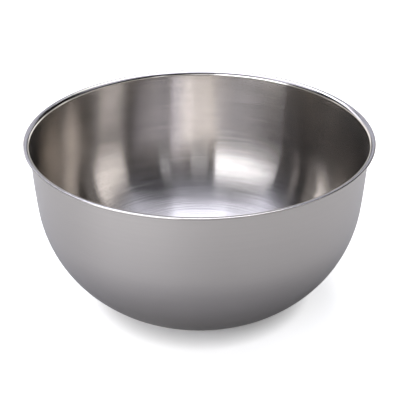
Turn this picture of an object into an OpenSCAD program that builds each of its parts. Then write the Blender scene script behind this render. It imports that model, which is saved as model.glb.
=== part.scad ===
// Deep mixing bowl, drawn from one disc of stainless steel sheet.
// The sheet runs from the pressed-up middle of the base, over the foot ring, the belly and
// the wall, out into a narrow rim, and is folded flat under itself at the edge.
// The section is a chain of bends and straights of one thickness, each tangent to the next,
// turned once around the axis. Sizes are in millimetres. The bowl stands on z = 0.

/* [Bowl] */
// Diameter over the folded edge of the rim
rim_d = 240; // [225:1:255]
// Height from the table to the top of the rim
bowl_h = 125; // [115:1:132]
// Thickness of the steel sheet
sheet_t = 0.6; // [0.4:0.05:0.8]

/* [Wall] */
// Lean of the wall out of the vertical just under the rim, in degrees
wall_lean = 0.5; // [0:0.1:2]
// Radius of the wall's slight barrel, seen in section
wall_r = 700; // [500:10:1200]
// Radius of the belly, where the wall sweeps in under the bowl
belly_r = 89; // [82:1:96]

/* [Foot] */
// Outer diameter of the flat ring that the bowl stands on
foot_d = 100; // [84:1:112]
// Radius of the corner from that ring up into the belly
foot_r = 14; // [6:1:24]
// Width of the flat ring
foot_w = 8; // [4:0.5:14]
// Height that the middle of the base is pressed up, which keeps the bowl from rocking
push_h = 1.2; // [0.4:0.1:3]
// Inner radius of the two bends of that step
push_r = 3; // [2:0.5:6]

/* [Rim] */
// Width of the rim, from the inside of the wall to the outermost edge
rim_w = 4.6; // [4.5:0.1:8]
// Inner radius of the bend from the wall out into the rim, on its underside. With the sheet
// and the fold at the edge, it takes up nearly all of the rim's width.
rim_r = 2.9; // [2:0.1:3.1]
// Width of the fold, from the outermost edge to the end of the sheet under the rim
hem_w = 1.3; // [0.9:0.1:1.6]
// Gap left inside the fold
hem_gap = 0.1; // [0.06:0.02:0.3]

/* [Hidden] */

// One degree around the axis and on the large arcs, short chords on the small bends
$fa = 1;
$fs = sheet_t / 4;

// Length by which each bend runs on into its neighbours, so that they join without a crack
bend_lap = sheet_t / 200;

// Centre of the bend from the wall into the rim, which lies outside the wall
rim_bend = [rim_d / 2 - rim_w + rim_r + sheet_t, bowl_h - sheet_t - rim_r];

// Centre of the wall's barrel, in line with the rim's bend and the point where they meet
wall_arc = rim_bend + (rim_r + wall_r) * [-cos(wall_lean), sin(wall_lean)];

// Centre of the corner above the foot ring
foot_arc = [foot_d / 2, foot_r];

// Centre of the belly, whose arc touches the wall's arc and the foot's corner from inside
belly_arc = meeting(wall_arc, wall_r - belly_r, foot_arc, belly_r - foot_r);

// Directions in which the wall hands over to the belly, and the belly to the foot's corner
wall_end = direction(wall_arc, belly_arc);
belly_end = direction(belly_arc, foot_arc);

// Angle of the step up to the middle of the base, from its height and the radius of its bends
push_bend = acos(1 - push_h / (2 * push_r + sheet_t));
// Centres of the step's two bends: the first lies above the sheet, the second below it
push_outer = [foot_d / 2 - foot_w, sheet_t + push_r];
push_inner = push_outer - (2 * push_r + sheet_t) * [sin(push_bend), cos(push_bend)];

// Centre of the fold at the edge
hem_fold = [rim_d / 2 - sheet_t - hem_gap / 2, bowl_h - sheet_t - hem_gap / 2];

// Direction in degrees from one point to another
function direction(from, to) = atan2(to.y - from.y, to.x - from.x);

// Upper one of the two points that lie reach_a from point a and reach_b from point b
function meeting(a, reach_a, b, reach_b) =
    let (
        apart = norm(b - a),
        along = (apart ^ 2 + reach_a ^ 2 - reach_b ^ 2) / (2 * apart),
        aside = sqrt(reach_a ^ 2 - along ^ 2),
        line = (b - a) / apart
    )
    a + along * line + aside * [-line.y, line.x];

// Straight run of sheet from one radius to another, with its underside at height z
module straight(from, to, z)
    translate([from, z])
        square([to - from, sheet_t]);

// Bend of the sheet around a centre, from one direction to another, up to a quarter turn on.
// inner is the radius of the face nearest the centre.
module bend(centre, inner, from, to) {
    outer = inner + sheet_t;
    lap = bend_lap / outer * 180 / PI;
    middle = (from + to) / 2;
    // The wedge that keeps the bend's part of the ring reaches well past its outer face
    reach = 2 * outer;
    translate(centre)
        intersection() {
            difference() {
                circle(outer);
                circle(inner);
            }
            polygon([
                [0, 0],
                reach * [cos(from - lap), sin(from - lap)],
                reach * [cos(middle), sin(middle)],
                reach * [cos(to + lap), sin(to + lap)]
            ]);
        }
}

// Middle of the base, the step around it and the flat foot ring
module base_section() {
    straight(0, push_inner.x, push_h);
    bend(push_inner, push_r, 90 - push_bend, 90);
    bend(push_outer, push_r, -90 - push_bend, -90);
    straight(push_outer.x, foot_arc.x, 0);
}

// Foot corner, belly and barrelled wall
module wall_section() {
    bend(foot_arc, foot_r - sheet_t, -90, belly_end);
    bend(belly_arc, belly_r - sheet_t, belly_end, wall_end);
    bend(wall_arc, wall_r - sheet_t, wall_end, -wall_lean);
}

// Rim turned out from the wall, with the edge folded down and back underneath
module rim_section() {
    bend(rim_bend, rim_r, 90, 180 - wall_lean);
    straight(rim_bend.x, hem_fold.x, bowl_h - sheet_t);
    bend(hem_fold, hem_gap / 2, 0, 90);
    bend(hem_fold, hem_gap / 2, -90, 0);
    straight(rim_d / 2 - hem_w, hem_fold.x, bowl_h - 2 * sheet_t - hem_gap);
}

module bowl()
    color("#b4b2b3")
        rotate_extrude() {
            base_section();
            wall_section();
            rim_section();
        }

bowl();
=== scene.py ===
# %% [markdown]
# A deep mixing bowl of stainless steel, 24 cm across, standing on a pale table.
#
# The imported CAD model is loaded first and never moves. It fixes where the bowl stands and how
# big it is. Everything below makes a finer skin for it, in metres, in the same frame: the table
# is z = 0 and the z axis runs up through the middle of the bowl.

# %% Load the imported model
from math import cos, degrees, pi, radians, sin

import bmesh
import bpy
from mathutils import Matrix, Vector


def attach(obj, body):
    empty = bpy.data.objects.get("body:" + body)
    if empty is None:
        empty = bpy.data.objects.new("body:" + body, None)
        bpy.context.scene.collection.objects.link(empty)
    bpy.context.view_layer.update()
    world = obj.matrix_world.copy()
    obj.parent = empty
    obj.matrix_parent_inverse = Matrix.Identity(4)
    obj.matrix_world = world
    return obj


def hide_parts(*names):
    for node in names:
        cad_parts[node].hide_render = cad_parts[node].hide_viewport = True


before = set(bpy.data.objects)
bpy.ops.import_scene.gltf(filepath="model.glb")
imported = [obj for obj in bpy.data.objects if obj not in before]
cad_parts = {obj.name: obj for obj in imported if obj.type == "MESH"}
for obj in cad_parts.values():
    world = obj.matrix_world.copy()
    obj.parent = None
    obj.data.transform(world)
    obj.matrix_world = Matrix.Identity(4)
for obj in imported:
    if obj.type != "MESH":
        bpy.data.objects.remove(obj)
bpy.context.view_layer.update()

MM = 0.001
print("solids in the packed model:", sorted(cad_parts))

# %% [markdown]
# Every node tree in this file, for shapes as for finishes, is built with one small helper. It
# adds a node, sets its options, and fills its inputs: from a plain value, or from a wire that
# comes out of another node.
#
# A Mix node has separate sockets for numbers, vectors and colours. The ones for colours have no
# name of their own, so their places in the list are kept here.
#
# Colours are written as the hex values that a picture editor shows. Blender calculates with
# linear light, so one function turns them.

# %% Helpers for node trees and colours
MIX_FIRST, MIX_SECOND, MIX_RESULT = 6, 7, 2


def add_node(tree, kind, inputs=None, **options):
    node = tree.nodes.new(kind)
    for option, value in options.items():
        setattr(node, option, value)
    for name, value in (inputs or {}).items():
        if isinstance(value, bpy.types.NodeSocket):
            tree.links.new(value, node.inputs[name])
        else:
            node.inputs[name].default_value = value
    return node


def linear(hex_colour):
    parts = [int(hex_colour[i:i + 2], 16) / 255 for i in (1, 3, 5)]
    return [c / 12.92 if c <= 0.04045 else ((c + 0.055) / 1.055) ** 2.4 for c in parts] + [1.0]


print("mid grey #808080 in linear light:", round(linear("#808080")[0], 3))

# %% [markdown]
# The bowl's sizes. They are those of the CAD source, in millimetres here and in metres in the
# node tree. The sheet is 0.6 mm thick all over, because one disc was drawn into this shape.

# %% Sizes of the bowl
BOWL_MM = {
    "Rim diameter": 240,
    "Height": 125,
    "Sheet": 0.6,
    "Wall radius": 700,
    "Belly radius": 89,
    "Foot diameter": 100,
    "Foot radius": 14,
    "Foot ring width": 8,
    "Push height": 1.2,
    "Push radius": 3,
    "Rim width": 4.6,
    "Rim bend radius": 2.9,
    "Hem width": 1.3,
    "Hem gap": 0.1,
}
WALL_LEAN = radians(0.5)
TURN_STEPS = 256
print("sizes that shape the section:", len(BOWL_MM) + 1)

# %% [markdown]
# On the real bowl a press draws a flat disc over a punch, and the edge is then rolled out and
# folded under on a lathe. Any cut through the axis shows the same line: a chain of bends and
# straights, each tangent to the next. So the shape follows a rule, and Geometry Nodes can make
# it: draw that line once, then turn it around the axis.
#
# The centres of the bends follow from the sizes by school geometry. To keep those formulas
# readable, a small class lets wires be added and multiplied like plain numbers. Each operation
# puts one Math node in the tree.

# %% Arithmetic with wires
class Wire:
    """One number that runs through the tree."""

    def __init__(self, tree, socket):
        self.tree = tree
        self.socket = socket

    def math(self, operation, *others):
        values = [self, *others]
        plugs = {i: v.socket if isinstance(v, Wire) else v for i, v in enumerate(values)}
        node = add_node(self.tree, "ShaderNodeMath", plugs, operation=operation)
        return Wire(self.tree, node.outputs[0])

    def __add__(self, other): return self.math("ADD", other)
    def __sub__(self, other): return self.math("SUBTRACT", other)
    def __mul__(self, other): return self.math("MULTIPLY", other)
    def __truediv__(self, other): return self.math("DIVIDE", other)
    def __neg__(self): return self.math("MULTIPLY", -1)
    def cosine(self): return self.math("COSINE")
    def sine(self): return self.math("SINE")
    def root(self): return self.math("SQRT")


def beside(point, reach, angle):
    """The point at a distance and direction from another one."""
    return point[0] + angle.cosine() * reach, point[1] + angle.sine() * reach


def direction(start, end):
    return (end[1] - start[1]).math("ARCTAN2", end[0] - start[0])


def meeting(a, reach_a, b, reach_b):
    """Upper one of the two points that lie reach_a from a and reach_b from b."""
    apart_x, apart_z = b[0] - a[0], b[1] - a[1]
    apart = (apart_x * apart_x + apart_z * apart_z).root()
    along = (apart * apart + reach_a * reach_a - reach_b * reach_b) / (apart * 2)
    aside = (reach_a * reach_a - along * along).root()
    unit_x, unit_z = apart_x / apart, apart_z / apart
    return a[0] + along * unit_x - aside * unit_z, a[1] + along * unit_z + aside * unit_x


print("formulas ready: beside, direction, meeting")

# %% [markdown]
# The section is gathered as points, one row of them for every bend and every straight. A row
# spreads its points evenly, over an angle or along a line. Each point also keeps its place in
# the walk along the sheet, from the middle of the base, along the underside to the fold at the
# edge, and back over the upper side. One node then threads all points in that order. Row 7, for
# example, takes the places from 7.0 to 7.9.

# %% Rows of points on the section
ROW_SHARE = 0.9


class Section:
    """Collects rows of points, in the order in which they lie on the sheet."""

    def __init__(self, tree):
        self.tree = tree
        self.rows = []

    def share(self, count):
        """How far along its row a point is, from 0 to 1."""
        index = add_node(self.tree, "GeometryNodeInputIndex")
        return Wire(self.tree, index.outputs[0]) / (count - 1)

    def row(self, count, x, z):
        # Curve to Mesh hangs a section head down on the circle, so its height is turned round
        place = add_node(self.tree, "ShaderNodeCombineXYZ",
                         {"X": x.socket, "Y": (-z).socket})
        points = add_node(self.tree, "GeometryNodePoints",
                          {"Count": count, "Position": place.outputs[0]})
        turn = self.share(count) * ROW_SHARE + float(len(self.rows))
        kept = add_node(self.tree, "GeometryNodeStoreNamedAttribute",
                        {"Geometry": points.outputs[0], "Name": "walk", "Value": turn.socket},
                        data_type="FLOAT", domain="POINT")
        self.rows.append(kept.outputs[0])

    def bend(self, centre, radius, start, end, count):
        angle = (end - start) * self.share(count) + start
        self.row(count, *beside(centre, radius, angle))

    def straight(self, start, end, count):
        share = self.share(count)
        self.row(count, (end[0] - start[0]) * share + start[0],
                 (end[1] - start[1]) * share + start[1])


print("a section is gathered row by row")

# %% [markdown]
# This is the tree itself. Its inputs are the sizes of the bowl. The two sides of the sheet run
# through the same bends: where the underside lies on the inner radius of a bend, the upper side
# lies one sheet thickness further out, or the other way round.
#
# Turning is done by Curve to Mesh, which carries the section around a circle. The circle is a
# thin spindle of 1 mm, and the section stands 1 mm closer to compensate. At the axis all
# copies of the end point fall together, and Merge by Distance closes the pole there.
#
# Smooth shading would wipe out the two hard edges where the sheet was cut. Edges that turn by
# more than 50 degrees are therefore kept sharp.

# %% Tree that turns the sheet
RIM_ROWS = (7, 14)    # first and last row of the walk that belong to the rim
BETWEEN_ROWS = 0.05   # half the step from the last place of a row to the next whole number
SPINDLE = 1 * MM
SAME_POINT = 0.001 * MM
SHARP = radians(50)


def plan_section(size, lean):
    """All bends of the sheet, from the pushed-up base to the folded edge, for its two faces.
    Each row ends with its number of points."""
    sheet, gap = size["Sheet"], size["Hem gap"]
    zero, quarter = sheet * 0, sheet * 0 + pi / 2
    rim_bend = (size["Rim diameter"] / 2 - size["Rim width"] + size["Rim bend radius"] + sheet,
                size["Height"] - sheet - size["Rim bend radius"])
    wall = beside(rim_bend, size["Rim bend radius"] + size["Wall radius"], -lean + pi)
    foot = (size["Foot diameter"] / 2, size["Foot radius"])
    belly = meeting(wall, size["Wall radius"] - size["Belly radius"],
                    foot, size["Belly radius"] - size["Foot radius"])
    wall_end, belly_end = direction(wall, belly), direction(belly, foot)
    push_span = size["Push radius"] * 2 + sheet
    push_bend = (-(size["Push height"] / push_span) + 1).math("ARCCOSINE")
    push_outer = (foot[0] - size["Foot ring width"], sheet + size["Push radius"])
    push_inner = beside(push_outer, push_span, -quarter - push_bend)
    fold = (size["Rim diameter"] / 2 - sheet - gap / 2, size["Height"] - sheet - gap / 2)

    def side(inner, outer):
        """Rows of one face. It lies one sheet further out where inner or outer says so."""
        return [
            ("straight", (zero, size["Push height"] + outer),
             (push_inner[0], size["Push height"] + outer), 12),
            ("bend", push_inner, size["Push radius"] + outer, quarter, quarter - push_bend, 10),
            ("bend", push_outer, size["Push radius"] + inner, -quarter - push_bend,
             -quarter, 10),
            ("straight", (push_outer[0], outer), (foot[0], outer), 5),
            ("bend", foot, size["Foot radius"] - outer, -quarter, belly_end, 12),
            ("bend", belly, size["Belly radius"] - outer, belly_end, wall_end, 50),
            ("bend", wall, size["Wall radius"] - outer, wall_end, -lean, 12),
            ("bend", rim_bend, size["Rim bend radius"] + outer, -lean + pi, quarter, 14),
            ("straight", (rim_bend[0], size["Height"] - inner),
             (fold[0], size["Height"] - inner), 4),
            ("bend", fold, gap / 2 + outer, quarter, -quarter, 16),
            ("straight", (fold[0], size["Height"] - sheet - gap - outer),
             (size["Rim diameter"] / 2 - size["Hem width"],
              size["Height"] - sheet - gap - outer), 4),
        ]

    return side(sheet, zero), side(zero, sheet)


def build_turning_tree():
    tree = bpy.data.node_groups.new("turned_sheet", "GeometryNodeTree")
    names = list(BOWL_MM) + ["Wall lean"]
    for name in names:
        tree.interface.new_socket(name, in_out="INPUT", socket_type="NodeSocketFloat")
    tree.interface.new_socket("Steps around", in_out="INPUT", socket_type="NodeSocketInt")
    for finish in ("Underside finish", "Rim finish", "Inside finish"):
        tree.interface.new_socket(finish, in_out="INPUT", socket_type="NodeSocketMaterial")
    tree.interface.new_socket("Bowl", in_out="OUTPUT", socket_type="NodeSocketGeometry")
    given = add_node(tree, "NodeGroupInput").outputs
    size = {name: Wire(tree, given[name]) for name in names}

    under, upper = plan_section(size, size["Wall lean"])
    section = Section(tree)
    for kind, *facts in under:
        getattr(section, kind)(*facts)
    for kind, *facts in reversed(upper):
        # The way back walks each row from its far end
        first, last = (0, 1) if kind == "straight" else (2, 3)
        facts[first], facts[last] = facts[last], facts[first]
        getattr(section, kind)(*facts)

    rows = add_node(tree, "GeometryNodeJoinGeometry")
    for row in section.rows:
        tree.links.new(row, rows.inputs[0])
    walk = add_node(tree, "GeometryNodeInputNamedAttribute", {"Name": "walk"},
                    data_type="FLOAT")
    line = add_node(tree, "GeometryNodePointsToCurves",
                    {"Points": rows.outputs[0], "Weight": walk.outputs[0]})
    on_spindle = add_node(tree, "GeometryNodeSetPosition",
                          {"Geometry": line.outputs[0], "Offset": (-SPINDLE, 0, 0)})
    length = add_node(tree, "GeometryNodeSplineParameter")
    measured = add_node(tree, "GeometryNodeStoreNamedAttribute",
                        {"Geometry": on_spindle.outputs[0], "Name": "along_sheet",
                         "Value": length.outputs["Length"]},
                        data_type="FLOAT", domain="POINT")
    circle = add_node(tree, "GeometryNodeCurvePrimitiveCircle",
                      {"Resolution": given["Steps around"], "Radius": SPINDLE})
    turned = add_node(tree, "GeometryNodeCurveToMesh",
                      {"Curve": circle.outputs["Curve"], "Profile Curve": measured.outputs[0]})
    closed = add_node(tree, "GeometryNodeMergeByDistance",
                      {"Geometry": turned.outputs[0], "Distance": SAME_POINT})
    smooth = add_node(tree, "GeometryNodeSetShadeSmooth", {"Geometry": closed.outputs[0]},
                      domain="FACE")
    fold_angle = add_node(tree, "GeometryNodeInputMeshEdgeAngle")
    is_cut = add_node(tree, "FunctionNodeCompare",
                      {"A": fold_angle.outputs[0], "B": SHARP},
                      operation="GREATER_THAN", data_type="FLOAT")
    creased = add_node(tree, "GeometryNodeSetShadeSmooth",
                       {"Geometry": smooth.outputs[0], "Selection": is_cut.outputs[0],
                        "Shade Smooth": False}, domain="EDGE")
    whole = add_node(tree, "GeometryNodeRealizeInstances", {"Geometry": creased.outputs[0]})
    shape = whole.outputs[0]
    # Each finish covers the sheet from its own place in the walk on, until the next one starts
    for finish, above in (("Underside finish", -1.0),
                          ("Rim finish", RIM_ROWS[0] - BETWEEN_ROWS),
                          ("Inside finish", RIM_ROWS[1] + 1 - BETWEEN_ROWS)):
        chosen = add_node(tree, "FunctionNodeCompare",
                          {"A": walk.outputs[0], "B": above},
                          operation="GREATER_THAN", data_type="FLOAT")
        shape = add_node(tree, "GeometryNodeSetMaterial",
                         {"Geometry": shape, "Selection": chosen.outputs[0],
                          "Material": given[finish]}).outputs[0]
    add_node(tree, "NodeGroupOutput", {"Bowl": shape})
    return tree


turning_tree = build_turning_tree()
print("nodes in the turning tree:", len(turning_tree.nodes))

# %% [markdown]
# The finish. Stainless steel of this kind is an alloy of iron with chromium and nickel. Left
# polished it mirrors the room. Kitchen bowls are rubbed with fine grit while they spin, so the
# scratches run around the axis. A scratch spreads a reflection across its own length: on this
# bowl up and down, along the wall. That is why the inside shows soft vertical bands with
# crisp left and right edges. It is called an anisotropic reflection.
#
# In the shader, Anisotropic sets how unequal the two directions are, and the Tangent node
# gives the direction around the axis. A quarter turn of it makes the blur run up the wall.

# %% Helper for a steel finish
STEEL_DULL = "#ada9a4"
STEEL_BRIGHT = "#dbd5ce"
STREAK_MM = 60       # length of one brush mark around the bowl
LINE_MM = 1.2        # spacing of brush marks, drawn coarser than the real 0.1 mm to show
CLOUD_MM = 60        # size of the patches in which the roughness wanders
CLOUD_SWING = 0.02   # how much it wanders from patch to patch
MARK_SWING = 0.04    # how much it differs from one brush mark to the next


def steel(name, roughness, anisotropy, relief_mm, contrast):
    """Bare steel. relief_mm is the height of the brush marks, contrast that of their tones."""
    material = bpy.data.materials.new(name)
    material.use_nodes = True
    tree = material.node_tree
    shader = tree.nodes["Principled BSDF"]
    around = add_node(tree, "ShaderNodeTangent", direction_type="RADIAL", axis="Z")
    tree.links.new(around.outputs[0], shader.inputs["Tangent"])
    shader.inputs["Metallic"].default_value = 1.0
    shader.inputs["Anisotropic"].default_value = anisotropy
    shader.inputs["Anisotropic Rotation"].default_value = 0.25

    place = add_node(tree, "ShaderNodeTexCoord")
    split = add_node(tree, "ShaderNodeSeparateXYZ", {0: place.outputs["Object"]})
    along = add_node(tree, "ShaderNodeAttribute", attribute_name="along_sheet")
    scaled = {
        "X": Wire(tree, split.outputs["X"]) / (STREAK_MM * MM),
        "Y": Wire(tree, split.outputs["Y"]) / (STREAK_MM * MM),
        "Z": Wire(tree, along.outputs["Fac"]) / (LINE_MM * MM),
    }
    brushed = add_node(tree, "ShaderNodeCombineXYZ", {k: v.socket for k, v in scaled.items()})
    marks = add_node(tree, "ShaderNodeTexNoise",
                     {"Vector": brushed.outputs[0], "Scale": 1.0, "Detail": 2.0,
                      "Roughness": 0.6})
    cloud = add_node(tree, "ShaderNodeTexNoise",
                     {"Vector": place.outputs["Object"], "Scale": 1 / (CLOUD_MM * MM),
                      "Detail": 1.0})
    swing = (Wire(tree, cloud.outputs["Fac"]) * CLOUD_SWING
             + Wire(tree, marks.outputs["Fac"]) * MARK_SWING)
    rough = swing + (roughness - CLOUD_SWING / 2 - MARK_SWING / 2)
    tree.links.new(rough.socket, shader.inputs["Roughness"])
    grain = (Wire(tree, marks.outputs["Fac"]) - 0.5) * contrast + 0.5
    tone = add_node(tree, "ShaderNodeMix", {"Factor": grain.socket, MIX_FIRST: linear(STEEL_DULL),
                                            MIX_SECOND: linear(STEEL_BRIGHT)},
                    data_type="RGBA")
    tree.links.new(tone.outputs[MIX_RESULT], shader.inputs["Base Color"])
    bump = add_node(tree, "ShaderNodeBump",
                    {"Height": marks.outputs["Fac"], "Strength": 1.0,
                     "Distance": relief_mm * MM})
    tree.links.new(bump.outputs[0], shader.inputs["Normal"])
    return material


finishes = {
    # Ground with fine grit. The eye gets a wide, silky sheen in which no lamp has an outline.
    "Underside finish": steel("satin_ground_stainless_steel", 0.31, 0.7, 0.004, 0.12),
    # Buffed on a wheel. It draws short, crisp lights and darks along the edge.
    "Rim finish": steel("buffed_stainless_steel", 0.18, 0.0, 0.002, 0.1),
    # Brushed in circles. Lamps become tall bands with clear sides, under fine rings.
    "Inside finish": steel("brushed_stainless_steel", 0.19, 1.0, 0.06, 0.8),
}
print("finishes:", ", ".join(m.name for m in finishes.values()))

# %% [markdown]
# Now the tree gets its sizes. A modifier's inputs are set by each socket's identifier, and
# before anything evaluates the object. The result is copied to a plain mesh, so that the bowl
# no longer depends on the modifier.

# %% Make the bowl
def turned_bowl(name, tree, values):
    blank = bpy.data.objects.new(name, bpy.data.meshes.new(name + "_blank"))
    bpy.context.collection.objects.link(blank)
    modifier = blank.modifiers.new("turning", "NODES")
    modifier.node_group = tree
    for item in tree.interface.items_tree:
        if item.in_out == "INPUT":
            modifier[item.identifier] = values[item.name]
    ready = blank.evaluated_get(bpy.context.evaluated_depsgraph_get())
    mesh = bpy.data.meshes.new_from_object(ready)
    mesh.name = name
    blank.modifiers.clear()
    blank.data = mesh
    return blank


values = {name: float(mm) * MM for name, mm in BOWL_MM.items()}
values.update({"Wall lean": WALL_LEAN, "Steps around": TURN_STEPS}, **finishes)
bowl = turned_bowl("steel_bowl", turning_tree, values)

skin = bmesh.new()
skin.from_mesh(bowl.data)
if skin.calc_volume(signed=True) < 0:
    bmesh.ops.reverse_faces(skin, faces=skin.faces)
open_edges = sum(1 for e in skin.edges if not e.is_manifold)
print("faces", len(skin.faces), "open edges", open_edges,
      "steel", round(skin.calc_volume() * 1e9), "mm3")
skin.to_mesh(bowl.data)
skin.free()

# %% [markdown]
# The skin takes the place of the CAD solid, and moves with the part's only body.

# %% Hand the bowl to the frame
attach(bowl, "root")
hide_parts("bowl")
print("bowl reaches", [round(v * 1000, 2) for v in bowl.bound_box[6]], "mm")

# %% [markdown]
# The table. A pale, matt sheet of card. It is lit by the same lamps as the bowl, so it keeps
# the bowl's real soft shadow. Part of its white comes from a glow that only the camera and
# mirror-like surfaces see. Ambient Occlusion takes the glow away where the bowl covers the
# card. That is a painted shadow, a narrow one for the camera and a wide, deep one for
# reflections, and it darkens the card right under the belly on top of the real shadow. For light
# that bounces off it, the card is a middle grey, which keeps the steel from being lit too much
# from below.

# %% Table
TABLE_RADIUS = 1.1    # metres
TABLE_DROP_MM = 0.1   # the card lies this far under the foot ring, so that no faces coincide
CARD = "#a0a0a2"      # the card for light that bounces off it
CARD_SEEN = "#f5f4f0"     # the card for the camera
# Near the bowl, occlusion takes these glows away: a painted shadow, narrow for the camera, wide
# and deep for reflections
CAMERA_GLOW = 0.65    # strength of the glow for the camera
PAINTED_CONTACT_SHADOW_MM = 14       # how near the bowl has to be to take that glow away
MIRROR_GLOW = 0.35    # strength of the glow for reflections
PAINTED_REFLECTED_SHADOW_MM = 250       # how near the bowl has to be to take that one away
PAINTED_SHADOW_DEPTH = 5      # a higher power darkens the reflected shadow
OCCLUSION_RAYS = 8


def ray_kinds(tree):
    """Two wires: 1 for rays from the camera, and 1 for rays that a mirror or glass sends on."""
    path = add_node(tree, "ShaderNodeLightPath")
    glossy, clear = (Wire(tree, path.outputs[name])
                     for name in ("Is Glossy Ray", "Is Transmission Ray"))
    return Wire(tree, path.outputs["Is Camera Ray"]), glossy.math("MAXIMUM", clear)


def pale_card(name):
    material = bpy.data.materials.new(name)
    material.use_nodes = True
    tree = material.node_tree
    shader = tree.nodes["Principled BSDF"]
    shader.inputs["Roughness"].default_value = 1.0
    shader.inputs["Specular IOR Level"].default_value = 0.0
    near, wide = (Wire(tree, add_node(tree, "ShaderNodeAmbientOcclusion",
                                      {"Distance": reach * MM},
                                      samples=OCCLUSION_RAYS).outputs["AO"])
                  for reach in (PAINTED_CONTACT_SHADOW_MM, PAINTED_REFLECTED_SHADOW_MM))
    camera_ray, mirrored = ray_kinds(tree)
    # The glow fades where the bowl covers the card: a painted shadow added to the lamps' real one
    glow_with_painted_shadow = (camera_ray * near * CAMERA_GLOW
            + mirrored * wide.math("POWER", PAINTED_SHADOW_DEPTH) * MIRROR_GLOW)
    shade = add_node(tree, "ShaderNodeMix", {"Factor": camera_ray.socket, MIX_FIRST: linear(CARD),
                                             MIX_SECOND: linear(CARD_SEEN)},
                     data_type="RGBA")
    tree.links.new(shade.outputs[MIX_RESULT], shader.inputs["Base Color"])
    shader.inputs["Emission Color"].default_value = linear("#ffffff")
    tree.links.new(glow_with_painted_shadow.socket, shader.inputs["Emission Strength"])
    return material


def flat_disc(name, radius, z, steps=96):
    mesh = bpy.data.meshes.new(name)
    turns = [2 * pi * i / steps for i in range(steps)]
    corners = [(radius * cos(t), radius * sin(t), z) for t in turns]
    mesh.from_pydata(corners, [], [range(steps)])
    disc = bpy.data.objects.new(name, mesh)
    bpy.context.collection.objects.link(disc)
    return disc


table = flat_disc("table", TABLE_RADIUS, -TABLE_DROP_MM * MM)
table.data.materials.append(pale_card("pale_matt_card"))
print("table", 2 * TABLE_RADIUS, "m across")

# %% [markdown]
# The studio. A shiny bowl looks like what stands around it, so the lamps are placed for their
# reflections. Each is a softbox: a bright rectangle, set by its direction from the bowl, its
# size and its brightness. Azimuth 0 is to the right, 90 behind the bowl, 270 at the camera.
# Brightness is that of the lit face, where 1 renders as white. The two tints are those of
# daylight from a blue sky and of a window.

# %% Softboxes
DAYLIGHT = "#e6eaff"
WINDOW = "#f4f6ff"


def softbox(name, azimuth, distance, centre, wide, tall, brightness, colour="#ffffff",
            lean=0, roll=0):
    """A panel that stands at a distance from the axis, with its middle at a height.
    Upright, it faces the axis. A lean turns its face down, and a roll slants it."""
    lamp = bpy.data.lights.new(name, "AREA")
    lamp.shape = "RECTANGLE"
    lamp.size, lamp.size_y = wide, tall
    lamp.energy = brightness * pi * wide * tall
    lamp.color = linear(colour)[:3]
    holder = bpy.data.objects.new(name, lamp)
    bpy.context.collection.objects.link(holder)
    a, e = radians(azimuth), radians(lean)
    holder.location = (distance * cos(a), distance * sin(a), centre)
    back = Vector((cos(a) * cos(e), sin(a) * cos(e), sin(e)))
    stand = back.to_track_quat("Z", "Y").to_matrix() @ Matrix.Rotation(radians(roll), 3, "Z")
    holder.rotation_euler = stand.to_euler()
    holder.visible_camera = False
    return holder


softbox("front_left_panel", 230, 1.4, 0.59, 1.43, 0.72, 5.0, WINDOW, roll=8)
softbox("front_left_upper", 231, 1.4, 1.17, 1.43, 0.45, 0.45, WINDOW)
softbox("front_right_glow", 300, 1.4, 0.55, 0.20, 0.70, 1.1, WINDOW)
softbox("front_glow", 270, 1.4, 0.55, 0.35, 0.70, 0.9, WINDOW)
softbox("front_high", 270, 1.2, 1.45, 1.40, 0.60, 0.13, DAYLIGHT, lean=50)
softbox("back_left_low", 117, 1.4, 0.38, 0.82, 0.45, 1.0)
softbox("back_left_mid", 126, 1.4, 0.95, 0.41, 0.70, 2.9, DAYLIGHT)
softbox("back_mid", 92, 1.4, 0.78, 1.20, 0.34, 0.9, DAYLIGHT)
softbox("back_strip", 90, 1.4, 1.08, 0.64, 0.24, 0.5, DAYLIGHT)
softbox("back_left_high", 117, 1.4, 1.75, 0.82, 0.90, 6.4, DAYLIGHT)
softbox("back_right_high", 84, 1.4, 1.75, 0.82, 0.90, 1.4, DAYLIGHT)
softbox("over_back", 90, 0.95, 1.75, 1.10, 0.90, 5.2, lean=90)
softbox("over_left", 180, 1.20, 1.75, 1.40, 1.30, 1.8, DAYLIGHT, lean=90)
softbox("over_middle", 0, 0.0, 1.75, 1.00, 1.10, 3.0, DAYLIGHT, lean=90)
softbox("over_right", 0, 1.20, 1.75, 1.40, 1.30, 1.1, DAYLIGHT, lean=90)
softbox("over_front", 270, 0.90, 1.75, 1.10, 0.80, 0.38, DAYLIGHT, lean=90)
softbox("right_thin_strip", 23, 1.4, 0.40, 0.25, 0.50, 0.8)
softbox("right_back_glow", 60, 1.4, 0.30, 0.70, 0.30, 1.0)
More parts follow.
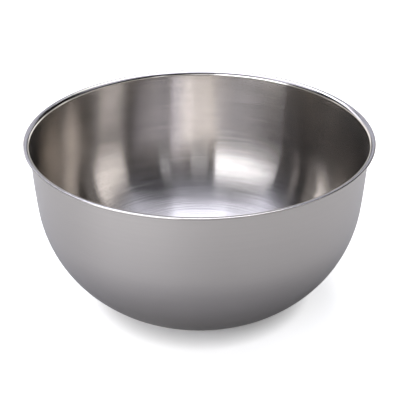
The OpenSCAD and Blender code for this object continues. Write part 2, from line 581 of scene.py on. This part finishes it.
softbox("left_thin_strip", 156, 1.4, 0.40, 0.20, 0.50, 0.6)

# %% [markdown]
# The camera sees a white room behind the table. Reflections see it white only low down, at the
# height of the table's far edge, and nearly black above that. The dark is what makes the steel
# read as metal: without it the bowl would turn chalky.

# %% Room
ROOM_DARK = 0.006
WHITE_UP_TO, DARK_FROM = radians(6), radians(14)    # heights above the horizon
world = bpy.data.worlds.new("studio_room")
bpy.context.scene.world = world
world.use_nodes = True
room = world.node_tree
view = add_node(room, "ShaderNodeTexCoord")
upward = add_node(room, "ShaderNodeSeparateXYZ", {0: view.outputs["Generated"]})
band = add_node(room, "ShaderNodeMapRange",
                {"Value": upward.outputs["Z"], "From Min": sin(WHITE_UP_TO),
                 "From Max": sin(DARK_FROM), "To Min": 1.0, "To Max": 0.0},
                interpolation_type="SMOOTHSTEP")
camera_ray, mirrored = ray_kinds(room)
level = (camera_ray + mirrored * Wire(room, band.outputs[0])) * (1 - ROOM_DARK) + ROOM_DARK
room.links.new(level.socket, room.nodes["Background"].inputs["Strength"])
room.nodes["Background"].inputs["Color"].default_value = linear("#ffffff")
print("room level overhead", ROOM_DARK)

# %% [markdown]
# The camera stands where the photographer's did: 53 cm from the axis and 36 cm above the
# table, looking down by 29 degrees with a long lens.

# %% Camera
LENS_MM, SENSOR_MM = 75.25, 36.0
STANDS_AT = (0, -0.52721, 0.36496)
LOOKS_DOWN, TURNS_RIGHT, TILTS = radians(29.207), radians(0.032), radians(0.180)
camera = bpy.data.objects.new("camera", bpy.data.cameras.new("camera"))
bpy.context.collection.objects.link(camera)
camera.data.lens, camera.data.sensor_width = LENS_MM, SENSOR_MM
camera.location = STANDS_AT
turn = (Matrix.Rotation(-TURNS_RIGHT, 4, "Z")
        @ Matrix.Rotation(pi / 2 - LOOKS_DOWN, 4, "X")
        @ Matrix.Rotation(-TILTS, 4, "Z"))
camera.rotation_euler = turn.to_euler()
scene = bpy.context.scene
scene.camera = camera
scene.view_settings.view_transform = "Standard"
print("camera field of view", round(degrees(camera.data.angle), 1), "degrees")
